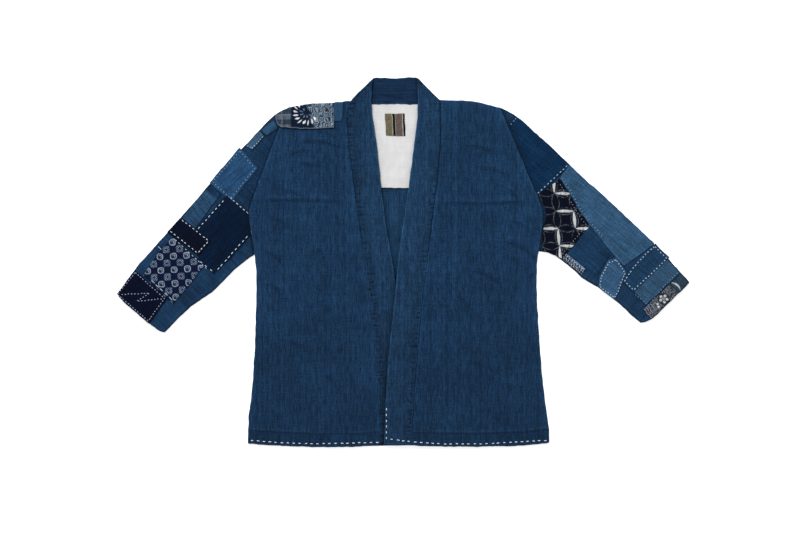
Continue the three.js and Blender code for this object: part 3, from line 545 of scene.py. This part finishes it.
def cloth_material(name, grain, streak=0.16, weft=0.07, mottle=0.14, speck=0.2, slub=30.0):
    """Woven cotton: the painted dye with its painted shade, made uneven by slubs, by wear and by the weave.
    """
    material = bpy.data.materials.new(name)
    material.use_nodes = True
    nodes, links = material.node_tree.nodes, material.node_tree.links
    shader = nodes["Principled BSDF"]
    shader.inputs["Roughness"].default_value = 0.95
    shader.inputs["Specular IOR Level"].default_value = 0.06
    shader.inputs["Sheen Weight"].default_value = 0.02
    shader.inputs["Sheen Roughness"].default_value = 0.6
    place = nodes.new("ShaderNodeTexCoord")
    turned = nodes.new("ShaderNodeMapping")
    turned.inputs["Rotation"].default_value = (0.0, 0.0, math.radians(-grain))
    links.new(place.outputs["Object"], turned.inputs["Vector"])

    def noise(size_x, size_y, detail, seed):
        stretch = nodes.new("ShaderNodeMapping")
        stretch.inputs["Location"].default_value = (seed, seed * 0.7, 0.0)
        stretch.inputs["Scale"].default_value = (1 / (size_x * MM), 1 / (size_y * MM), 30.0)
        links.new(turned.outputs["Vector"], stretch.inputs["Vector"])
        field = nodes.new("ShaderNodeTexNoise")
        field.inputs["Scale"].default_value = 1.0
        field.inputs["Detail"].default_value = detail
        links.new(stretch.outputs["Vector"], field.inputs["Vector"])
        return field.outputs["Fac"]

    def shade(fac, amount):
        spread = nodes.new("ShaderNodeMapRange")
        spread.inputs["From Min"].default_value = 0.3
        spread.inputs["From Max"].default_value = 0.7
        spread.inputs["To Min"].default_value = 1.0 - amount
        spread.inputs["To Max"].default_value = 1.0 + amount
        links.new(fac, spread.inputs["Value"])
        return spread.outputs["Result"]

    def times(a, b):
        product = nodes.new("ShaderNodeMath")
        product.operation = "MULTIPLY"
        links.new(a, product.inputs[0])
        links.new(b, product.inputs[1])
        return product.outputs["Value"]

    warp = shade(noise(2.2, slub, 1.0, 3.1), streak)
    cross = shade(noise(40.0, 2.2, 2.0, 7.7), weft)
    worn = shade(noise(64.0, 90.0, 4.0, 12.9), mottle)
    column = shade(noise(5.5, 700.0, 1.0, 41.7), 0.42 * streak)
    fleck = shade(noise(1.8, 2.6, 2.0, 21.3), speck)
    factor = times(times(times(warp, cross), times(worn, fleck)), column)
    dye_and_shade = nodes.new("ShaderNodeAttribute")
    dye_and_shade.attribute_name = "dye_and_shade"
    coloured = nodes.new("ShaderNodeVectorMath")
    coloured.operation = "SCALE"
    links.new(dye_and_shade.outputs["Color"], coloured.inputs[0])
    links.new(factor, coloured.inputs["Scale"])
    links.new(coloured.outputs["Vector"], shader.inputs["Base Color"])
    weave = nodes.new("ShaderNodeBump")
    weave.inputs["Strength"].default_value = 0.5
    weave.inputs["Distance"].default_value = 0.25 * MM
    threads = times(noise(0.9, 6.0, 2.0, 5.5), noise(6.0, 0.9, 2.0, 9.1))
    links.new(threads, weave.inputs["Height"])
    links.new(weave.outputs["Normal"], shader.inputs["Normal"])
    return material


MATERIALS = {
    "body": cloth_material("indigo body cotton", 0, 0.34, 0.13, 0.09, 0.4, 20.0),
    "sleeve_right": cloth_material("indigo sleeve cotton right", 45, 0.28, 0.1, 0.16, 0.36),
    "sleeve_left": cloth_material("indigo sleeve cotton left", -42, 0.28, 0.1, 0.16, 0.36),
    "band": cloth_material("indigo band cotton", 0, 0.31, 0.13, 0.09, 0.38, 19.0),
    "inside": cloth_material("indigo inside cotton", 90, 0.34, 0.1, 0.14, 0.3),
    "plain": cloth_material("plain cotton", 0, 0.03, 0.03, 0.03, 0.04),
    "patch_right": cloth_material("patch cotton right", -48, 0.26, 0.16, 0.14, 0.34),
    "patch_left": cloth_material("patch cotton left", 50, 0.26, 0.16, 0.14, 0.34),
    "patch_straight": cloth_material("patch cotton straight", 0, 0.2, 0.1, 0.12, 0.26),
    "slubbed": cloth_material("slubbed cotton", 42, 0.42, 0.24, 0.14, 0.28),
}


def thread_material(name, red, green, blue):
    material = bpy.data.materials.new(name)
    material.use_nodes = True
    shader = material.node_tree.nodes["Principled BSDF"]
    shader.inputs["Base Color"].default_value = (*linear(red, green, blue), 1.0)
    shader.inputs["Roughness"].default_value = 0.7
    shader.inputs["Specular IOR Level"].default_value = 0.25
    return material


THREADS = {
    "white": thread_material("white thread", 216, 226, 238),
    "pale": thread_material("pale blue thread", 168, 192, 216),
    "blue": thread_material("light blue thread", 116, 152, 190),
    "dusk": thread_material("dusky thread", 158, 170, 194),
    "grey": thread_material("grey thread", 140, 144, 156),
    "navy": thread_material("navy thread", 14, 27, 46),
    # A dark sheet of painted shade that lies under each stitch.
    "stitch_shade": thread_material("painted shade beside a stitch", 12, 24, 42),
}

# What each solid's cloth looks like: dye as seen in daylight, material, then how fine its mesh
# is as plain halvings, smoothing rounds and cuts of the upper side, and how it is painted.
LOOKS = {
    "back_panel": ((32, 60, 89), "body", 0, 2, 0, paint_sleeve),
    "front_right": ((28, 53, 81), "body", 0, 2, 2, paint_body),
    "front_left": ((28, 53, 81), "body", 0, 2, 2, paint_body),
    "band_right": ((31, 57, 85), "band", 0, 2, 3, paint_band),
    "band_left": ((31, 57, 85), "band", 0, 2, 3, paint_band),
    "collar_back": ((26, 47, 74), "inside", 0, 2, 1, paint_patch),
    "neck_lining": ((222, 222, 222), "plain", 0, 2, 1, paint_lining),
    "label_patch": ((98, 89, 78), "plain", 2, 1, 3, paint_label),
    "sleeve_right": ((28, 53, 81), "sleeve_right", 0, 2, 1, paint_sleeve),
    "sleeve_left": ((29, 53, 80), "sleeve_left", 0, 2, 1, paint_sleeve),
    "patch_right_shoulder_light": ((43, 74, 103), "patch_straight", 2, 1, 1, paint_patch),
    "patch_right_shoulder_print": ((18, 30, 49), "patch_straight", 2, 1, 3, paint_shoulder),
    "patch_right_upper_light": ((45, 77, 107), "patch_right", 2, 1, 1, paint_patch),
    "patch_right_small_pale": ((60, 90, 119), "patch_right", 2, 1, 1, paint_patch),
    "patch_right_mid_blue": ((39, 72, 107), "patch_right", 2, 1, 1, paint_patch),
    "patch_right_slub_blue": ((39, 67, 95), "slubbed", 2, 1, 2, paint_slubbed),
    "patch_right_navy": ((13, 29, 51), "patch_right", 2, 1, 0, paint_patch),
    "patch_right_black": ((15, 20, 36), "patch_right", 2, 1, 1, paint_patch),
    "patch_right_edge_light": ((32, 58, 90), "patch_right", 2, 1, 1, paint_patch),
    "patch_right_squares": ((12, 26, 52), "patch_straight", 2, 1, 3, paint_squares),
    "patch_right_cuff_navy": ((12, 18, 36), "patch_right", 2, 1, 1, paint_patch),
    "patch_left_upper_indigo": ((18, 45, 74), "patch_left", 2, 1, 0, paint_patch),
    "patch_left_long_light": ((50, 82, 112), "patch_left", 2, 1, 0, paint_patch),
    "patch_left_circles": ((14, 19, 32), "patch_straight", 2, 1, 2, paint_circles),
    "patch_left_mid_indigo": ((28, 55, 84), "patch_left", 2, 1, 1, paint_sleeve),
    "patch_left_speckled": ((14, 22, 36), "patch_left", 2, 1, 3, paint_speckled),
    "patch_left_hexagon": ((55, 88, 121), "patch_left", 2, 1, 1, paint_patch),
    "patch_left_dark_stitched": ((30, 58, 86), "patch_left", 2, 1, 1, paint_patch),
    "patch_left_light_strip": ((48, 76, 102), "patch_left", 2, 1, 1, paint_patch),
    "patch_left_cuff_print": ((42, 48, 58), "patch_left", 2, 1, 3, paint_cuff),
}

# Patches that reach a little past the plain solid, by this many millimetres on each side.
GROWN = {
    "patch_right_navy": ("right", 3.0),
    "patch_right_black": ("right", 3.0),
    "patch_right_mid_blue": ("right", 3.0),
    "patch_right_squares": ("right", 3.0),
    "patch_right_cuff_navy": ("right", 3.5),
    "patch_left_upper_indigo": ("left", 2.5),
    "patch_left_circles": ("left", 3.0),
    "patch_left_long_light": ("left", 2.5),
    "patch_left_speckled": ("left", 2.0),
    "patch_left_hexagon": ("left", 3.0),
    "patch_left_dark_stitched": ("left", 3.0),
    "patch_left_cuff_print": ("left", 1.0),
}


# Patches that wrap the overarm fold: how far each stands past it, in millimetres, and how far
# in from its edge it is drawn out for that.
OVER_FOLD = {
    "patch_right_black": ("right", 1.6),
    "patch_right_edge_light": ("right", 3.0),
    "patch_right_mid_blue": ("right", 1.2),
    "patch_left_dark_stitched": ("left", 1.6),
}
FOLD_REACH = 12.0


def over_fold(x, y, side, reach):
    along, across = to_sleeve(side, x, y)
    outer = across.min()
    return from_sleeve(side, along, across - reach * smooth(outer + FOLD_REACH, outer, across))


def grown(x, y, side, margin):
    along, across = to_sleeve(side, x, y)
    out = []
    for value in (along, across):
        middle, half = (value.max() + value.min()) / 2, (value.max() - value.min()) / 2
        out.append(middle + (value - middle) * (half + margin) / half)
    return from_sleeve(side, *out)


SLEEVE_PATCHES = {
    side: [node for node in LOOKS if node.startswith("patch_" + side)] for side in ("right", "left")
}
CONTRASTING = {
    side: [node for node in group if node != "patch_left_mid_indigo"]
    for side, group in SLEEVE_PATCHES.items()
}
# Which pieces lie over the edge of which, how dark the painted shade beside that edge is and how
# far it reaches in millimetres.
OVERLAID = {
    "back_panel": (["neck_lining", "band_right", "band_left"], 0.45, 5.0),
    "neck_lining": (["band_right", "band_left", "collar_back"], 0.14, 5.0),
    "collar_back": (["band_right", "band_left"], 0.45, 5.0),
    "band_right": (["band_left"], 0.62, 7.0),
    "front_right": (["patch_right_shoulder_print", "patch_right_shoulder_light"], 0.4, 2.5),
    "sleeve_right": (CONTRASTING["right"], 0.45, 2.5),
    "sleeve_left": (CONTRASTING["left"], 0.45, 2.5),
    "patch_left_mid_indigo": (["patch_left_long_light", "patch_left_circles"], 0.45, 2.5),
    "patch_right_navy": (["patch_right_black"], 0.35, 2.5),
    "patch_left_light_strip": (["patch_left_dark_stitched"], 0.6, 1.8),
    "patch_left_circles": (["patch_left_upper_indigo", "patch_left_long_light"], 0.4, 2.0),
}
# Painted shadow on a sleeve and its patches beside the front's armhole edge: darkness and reach.
ARMHOLE_DARK, ARMHOLE_REACH = 0.68, 6.0


def is_on_sleeve(node, side):
    patches = [name for name in SLEEVE_PATCHES[side] if "shoulder" not in name]
    return node == "sleeve_" + side or node in patches


def overlaid(node, x, y, co):
    """The share of light each point keeps under painted shade beside overlying pieces and armholes."""
    left = np.ones_like(x)
    above, dark, reach = OVERLAID.get(node, ((), 0, 1))
    if above:
        near = distances(flat_tree(np.concatenate([rims[other] for other in above])), co[:, :2])
        left = left * (1 - dark * np.exp(-near / reach))
    for side in ("right", "left"):
        if is_on_sleeve(node, side):
            near = distances(flat_tree(rims["front_" + side]), co[:, :2])
            left = left * (1 - ARMHOLE_DARK * np.exp(-near / ARMHOLE_REACH))
    return left


# How near to a front a sleeve is drawn up to it, and how far, in millimetres.
SEAM_NEAR, SEAM_PULL = 2.0, 0.5
# The hem hangs a little lower than the plain solids' own edge.
HEM_FROM, HEM_FULL, HEM_DROP = -300.0, -345.0, 2.0
# Where a front meets its band on the shoulder, and how far its corner is drawn under the band.
SHOULDER_POINTS = {"front_right": (-111.0, 317.0, 4.0), "front_left": (76.0, 318.0, -4.0)}
SHOULDER_SPREAD, SHOULDER_RAISE = 7.0, 1.5
# How far a band swells between its puckers and a filled leaf stands out, in millimetres.
BAND_SWELL, LEAF_LIFT = 1.5, 0.3
# How far the edge of the sewn-on sleeve panel sinks, and over what width.
PANEL_SINK, PANEL_EDGE = 1.3, 5.0
# How much wider and longer the label is than its plain solid, as shares.
LABEL_WIDER, LABEL_LONGER = 0.08, 0.06

# The fine meshes, and the tree of the edges that hold the cloth down.
meshes = {node: fine_copy(node, *look[2:-1]) for node, look in LOOKS.items()}
rims = {node: rim_of(mesh) for node, mesh in meshes.items()}
holding = ("front_right", "front_left", "sleeve_right", "sleeve_left", "back_panel")
edge_tree = flat_tree(np.concatenate([rims[node] for node in holding]))


def draw_shut(side, co, shift_x, shift_y):
    """Adds to a sleeve's shift so that the ground doesn't show through its armhole seam."""
    tree = flat_tree(rims["front_" + side])
    for i, (px, py) in enumerate(co[:, :2]):
        seam, _, far = tree.find((px, py, 0.0))
        if 0 < far < SEAM_NEAR * MM:
            start = Vector((px, py, 0.0))
            moved = start + Vector((shift_x[i], shift_y[i], 0.0)) * MM
            left = tree.find(moved)[0] - moved
            if left.dot(seam - start) > 0:
                pull = left.normalized() * (left.length / MM + SEAM_PULL)
                shift_x[i] += pull.x
                shift_y[i] += pull.y


for node, (colour, kind, *_, painter) in LOOKS.items():
    mesh = meshes[node]
    co = points_of(mesh)
    edge = distances(edge_tree, co[:, :2])
    rim = distances(flat_tree(rims[node]), co[:, :2])
    x, y = co[:, 0] / MM, co[:, 1] / MM
    dye_and_shade = painter(np.tile(linear(*colour), (len(co), 1)), x, y, rim, edge)
    # The painted shade beside overlying pieces and armhole edges is multiplied in here.
    paint(mesh, dye_and_shade * overlaid(node, x, y, co)[:, None])
    lift = relief(x, y, smooth(0.0, HELD_WITHIN, edge))
    if painter is paint_band:
        lift += BAND_SWELL * (1 - tick(x, y, inside_band(x, y)))
    if painter is paint_circles:
        lift += LEAF_LIFT * leaf_cover(x, y)
    if node == "patch_left_mid_indigo":
        lift -= PANEL_SINK * smooth(PANEL_EDGE, 0.0, rim)
    if node in GROWN:
        x, y = grown(x, y, *GROWN[node])
    if node in OVER_FOLD:
        x, y = over_fold(x, y, *OVER_FOLD[node])
    if painter is paint_label:
        x, y = x + LABEL_WIDER * (x - x.min()), y - LABEL_LONGER * (y.max() - y)
    if node in SHOULDER_POINTS:
        px, py, pull = SHOULDER_POINTS[node]
        near = np.exp(-((x - px) ** 2 + (y - py) ** 2) / (2 * SHOULDER_SPREAD**2))
        x, y = x + pull * near, y + SHOULDER_RAISE * near
    shift_x, shift_y = wander(x, y)
    for side in ("right", "left"):
        if is_on_sleeve(node, side):
            shift_y = shift_y - sag(side, to_sleeve(side, x, y)[0])
        if node == "sleeve_" + side:
            draw_shut(side, co, shift_x, shift_y)
    co[:, 0] = (x + shift_x) * MM
    co[:, 1] = (y + shift_y - HEM_DROP * smooth(HEM_FROM, HEM_FULL, y)) * MM
    co[:, 2] += lift * MM * smooth(LIFT_FROM, LIFT_FULL, co[:, 2])
    mesh.vertices.foreach_set("co", co.ravel())
    mesh.polygons.foreach_set("use_smooth", np.ones(len(mesh.polygons), dtype=bool))
    mesh.materials.append(MATERIALS[kind])
    mesh.update()
    piece = bpy.data.objects.new("cloth_" + node, mesh)
    bpy.context.scene.collection.objects.link(piece)
    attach(piece, "root")
    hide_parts(node)

# Sewing. Each run has its axes, its route in millimetres, the step from stitch to stitch, the
# length and thickness of a stitch, and its thread. The body's axes are the frame's own.
RUNS = [
    (
        "hem_right_side", "body",
        [(-305, -356), (-240, -361), (-177, -363), (-49, -360)],
        11.7, 6.6, 1.6, "white",
    ),
    (
        "hem_left_side", "body",
        [(-27, -353), (20, -359), (87, -363), (157, -363), (286, -356)],
        11.7, 6.6, 1.6, "white",
    ),
    ("vent", "body", [(-34, -291), (-34, -354)], 11.4, 5.8, 1.6, "white"),
    ("pale_patch", "right", [(94, -5), (92, 7), (60, 8)], 6, 4.4, 1.5, "pale"),
    ("mid_patch", "right", [(112, -8), (194, -7), (194, 42), (118, 38), (112, -8)], 7.3, 4.6, 1.5, "blue"),
    ("navy_top", "right", [(206, 34), (283, 34)], 10.8, 6.6, 1.45, "white"),
    ("navy_end", "right", [(194, 38), (193, 88)], 9.2, 5.8, 1.45, "white"),
    ("navy_under", "right", [(227, 117), (318, 117)], 11, 6.6, 1.45, "white"),
    ("navy_low", "right", [(326, 112), (328, 80)], 10.6, 6.4, 1.45, "white"),
    ("black_top", "right", [(291, -2), (286, 65)], 8.8, 4.9, 1.5, "white"),
    ("black_end", "right", [(288, 66), (318, 66)], 8.8, 5.4, 1.5, "white"),
    ("black_low", "right", [(323, -4), (319, 64)], 8.8, 4.9, 1.5, "white"),
    ("squares_top", "right", [(329, 14), (330, 100)], 8.6, 5.0, 1.5, "pale"),
    ("squares_low", "right", [(421, 32), (422, 92)], 14, 11, 1.6, "pale"),
    ("light_bar", "right", [(362, -3), (362, 9)], 14, 11, 1.4, "pale"),
    ("cuff_patch", "right", [(431, -1), (430, 77), (485, 83), (487, 2), (431, -1)], 6.4, 3.8, 1.5, "dusk"),
    ("cuff_zigzag", "right", [(482, 8), (442, 48), (471, 40), (434, 74)], 6.4, 3.4, 1.6, "dusk"),
    ("indigo_top", "left", [(36, -5), (37, 14)], 9.0, 4.2, 1.7, "blue"),
    ("indigo_low", "left", [(173, -6), (171, 26), (167, 76)], 8.6, 5.0, 1.7, "pale"),
    ("light_under", "left", [(181, 20), (208, 25), (247, 38), (287, 45), (318, 50)], 7, 4.2, 1.5, "blue"),
    ("circles_side", "left", [(186, 31), (222, 40), (262, 52), (279, 54)], 6.5, 2.8, 1.4, "grey"),
    ("circles_low", "left", [(280, 56), (283, 130)], 6.5, 3.2, 1.4, "grey"),
    ("speckled_top", "left", [(292, 126), (334, 124)], 6, 4, 2.0, "pale"),
    (
        "hexagon",
        "left",
        [
            (371, 66), (363, 80), (372, 111), (383, 127), (420, 124),
            (416, 109), (406, 86), (402, 74), (371, 66),
        ],
        6.2, 4.4, 1.9, "pale",
    ),
    (
        "dark_patch",
        "left",
        [(410, -5), (406, 18), (407, 58), (412, 86), (437, 88), (440, 58), (443, 20), (444, -3), (410, -5)],
        7.4, 4.4, 1.9, "pale",
    ),
    ("strip_low", "left", [(480, 3), (477, 40), (481, 90), (446, 92)], 6.6, 4, 1.3, "blue"),
    (
        "hem_turn_right", "body",
        [(-311, -335), (-257, -338), (-207, -340), (-51, -335)],
        3.2, 2.4, 0.9, "navy",
    ),
    (
        "hem_turn_left", "body",
        [(23, -333), (73, -341), (153, -342), (233, -337), (289, -333)],
        3.2, 2.4, 0.9, "navy",
    ),
    ("collar_upper", "body", [(-62, 333), (26, 333)], 3.2, 2.4, 0.9, "navy"),
    ("collar_lower", "body", [(-62, 319), (26, 319)], 3.2, 2.4, 0.9, "navy"),
]
# A stitch's centre line at five places: height in thicknesses above the cloth, and width. Under
# each stitch lies a dark sheet of painted shade for the dent a pulled stitch sinks into, a little
# larger and lower.
STITCH_RISE = (-0.25, 0.14, 0.22, 0.14, -0.25)
STITCH_GIRTH = (0.6, 0.95, 1.0, 0.95, 0.6)
STITCH_SHADE_RISE = (-0.12, -0.1, -0.1, -0.1, -0.12)
STITCH_SHADE_GIRTH = (0.9, 1.35, 1.4, 1.35, 0.9)
STITCH_SHADE_LONGER = 1.3
STITCH_SIDES = 6
# How far above the surface the search for the cloth starts, in metres.
SEARCH_FROM = 0.2

bpy.context.view_layer.update()
depsgraph = bpy.context.evaluated_depsgraph_get()


def cloth_top(x, y):
    """Height of the uppermost cloth at a plan point, or None beyond the garment."""
    origin = Vector((x, y, SEARCH_FROM))
    hit, place = bpy.context.scene.ray_cast(depsgraph, origin, Vector((0, 0, -1)))[:2]
    return place.z if hit else None


def along_route(route, at):
    """The point at a distance along a route, and the direction there."""
    for (x0, y0), (x1, y1) in zip(route, route[1:]):
        length = math.hypot(x1 - x0, y1 - y0)
        if at <= length or (x1, y1) == route[-1]:
            ux, uy = (x1 - x0) / length, (y1 - y0) / length
            return x0 + ux * at, y0 + uy * at, ux, uy
        at -= length


def route_length(route):
    return sum(math.hypot(b[0] - a[0], b[1] - a[1]) for a, b in zip(route, route[1:]))


def strand(x, y, ux, uy, reach, girth, rises, girths):
    """Points and faces of one short strand that follows the cloth, in metres."""
    vertices, faces = [], []
    for place, (rise, width) in enumerate(zip(rises, girths)):
        t = (place / 2 - 1) * reach
        cx, cy = x + ux * t, y + uy * t
        top = cloth_top(cx * MM, cy * MM)
        if top is None:
            return [], []
        cz = top / MM + rise * 2 * girth
        r = girth * width
        for s in range(STITCH_SIDES):
            turn = 2 * math.pi * s / STITCH_SIDES
            out, up = r * math.cos(turn), min(0.7 * r, 0.6 * girth) * math.sin(turn)
            vertices.append(((cx - uy * out) * MM, (cy + ux * out) * MM, (cz + up) * MM))
    spans = len(rises) - 1
    for place in range(spans):
        for s in range(STITCH_SIDES):
            a = place * STITCH_SIDES + s
            b = place * STITCH_SIDES + (s + 1) % STITCH_SIDES
            faces.append((a, b, b + STITCH_SIDES, a + STITCH_SIDES))
    last = spans * STITCH_SIDES
    faces.append(tuple(reversed(range(STITCH_SIDES))))
    faces.append(tuple(last + s for s in range(STITCH_SIDES)))
    return vertices, faces


def sew(name, axes, route, step, length, thickness, thread):
    """One run of stitches as a single mesh, each stitch dipping into the cloth at both ends."""
    if axes != "body":
        places = [(from_sleeve(axes, a, b), sag(axes, a)) for a, b in route]
        route = [(px, py - drop) for (px, py), drop in places]
    rng = scatter(len(name) * 97 + int(route[0][0]))
    vertices, faces, dark = [], [], []

    def add(part, is_dark):
        first = len(vertices)
        vertices.extend(part[0])
        faces.extend(tuple(first + i for i in face) for face in part[1])
        dark.extend([is_dark] * len(part[1]))

    whole = route_length(route)
    count = max(1, round((whole - length) / step) + 1)
    pitch = (whole - length) / max(1, count - 1)
    for k in range(count):
        middle = length / 2 + k * pitch + rng.normal(0, 0.05) * step
        middle = min(max(middle, length / 2), whole - length / 2)
        x, y, ux, uy = along_route(route, middle)
        tilt = rng.normal(0, 0.09)
        ux, uy = ux * math.cos(tilt) - uy * math.sin(tilt), ux * math.sin(tilt) + uy * math.cos(tilt)
        side = rng.normal(0, 0.12) * thickness
        x, y = x - uy * side, y + ux * side
        reach = length * rng.uniform(0.88, 1.1) / 2
        girth = thickness * rng.uniform(0.9, 1.1) / 2
        add(strand(x, y, ux, uy, reach, girth, STITCH_RISE, STITCH_GIRTH), 0)
        # Every stitch but a navy one lies on a dark sheet of painted shade.
        if thread != "navy":
            add(strand(x, y, ux, uy, reach * STITCH_SHADE_LONGER, girth, STITCH_SHADE_RISE, STITCH_SHADE_GIRTH), 1)
    mesh = bpy.data.meshes.new("stitches_" + name)
    mesh.from_pydata(vertices, [], faces)
    mesh.polygons.foreach_set("use_smooth", np.ones(len(mesh.polygons), dtype=bool))
    mesh.materials.append(THREADS[thread])
    mesh.materials.append(THREADS["stitch_shade"])
    mesh.polygons.foreach_set("material_index", np.array(dark, dtype=np.int32))
    piece = bpy.data.objects.new("stitches_" + name, mesh)
    bpy.context.scene.collection.objects.link(piece)
    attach(piece, "root")


for run in RUNS:
    sew(*run)

# Floor, daylight and camera.
FLOOR_HALF = 3.0
FLOOR_Z = -0.4 * MM
# The photo's ground is so bright that hardly any shadow is left on it, so the paper glows a bit.
PAPER_GLOW = 0.5
SKY_STRENGTH = 0.62
WINDOW_STRENGTH = 3.1
WINDOW_SPREAD = math.radians(14)
WINDOW_FROM = Vector((-0.35, 0.95, 0.75))
CAMERA_LENS, CAMERA_SENSOR = 85.0, 36.0
# The camera looks straight down from here, in metres.
CAMERA_PLACE = (-0.007, -0.0098, 3.765)
floor_mesh = bpy.data.meshes.new("floor")
corners = [(-1, -1), (1, -1), (1, 1), (-1, 1)]
corners = [(a * FLOOR_HALF, b * FLOOR_HALF, FLOOR_Z) for a, b in corners]
floor_mesh.from_pydata(corners, [], [(0, 1, 2, 3)])
floor = bpy.data.objects.new("floor", floor_mesh)
bpy.context.scene.collection.objects.link(floor)
paper = bpy.data.materials.new("white paper")
paper.use_nodes = True
paper_shader = paper.node_tree.nodes["Principled BSDF"]
paper_shader.inputs["Base Color"].default_value = (0.9, 0.9, 0.9, 1)
paper_shader.inputs["Roughness"].default_value = 1.0
paper_shader.inputs["Specular IOR Level"].default_value = 0.0
paper_shader.inputs["Emission Color"].default_value = (1.0, 1.0, 1.0, 1)
paper_shader.inputs["Emission Strength"].default_value = PAPER_GLOW
floor_mesh.materials.append(paper)

world = bpy.data.worlds.new("daylight")
world.use_nodes = True
sky = world.node_tree.nodes["Background"]
sky.inputs["Color"].default_value = (1.0, 1.0, 1.0, 1)
sky.inputs["Strength"].default_value = SKY_STRENGTH
bpy.context.scene.world = world

window_light = bpy.data.lights.new("window", "SUN")
window_light.energy = WINDOW_STRENGTH
window_light.angle = WINDOW_SPREAD
window = bpy.data.objects.new("window", window_light)
window.rotation_euler = WINDOW_FROM.to_track_quat("Z", "Y").to_euler()
bpy.context.scene.collection.objects.link(window)

lens = bpy.data.cameras.new("camera")
lens.lens = CAMERA_LENS
lens.sensor_width = CAMERA_SENSOR
lens.clip_end = 20.0
camera = bpy.data.objects.new("camera", lens)
camera.location = CAMERA_PLACE
bpy.context.scene.collection.objects.link(camera)
bpy.context.scene.camera = camera
bpy.context.scene.view_settings.view_transform = "Standard"
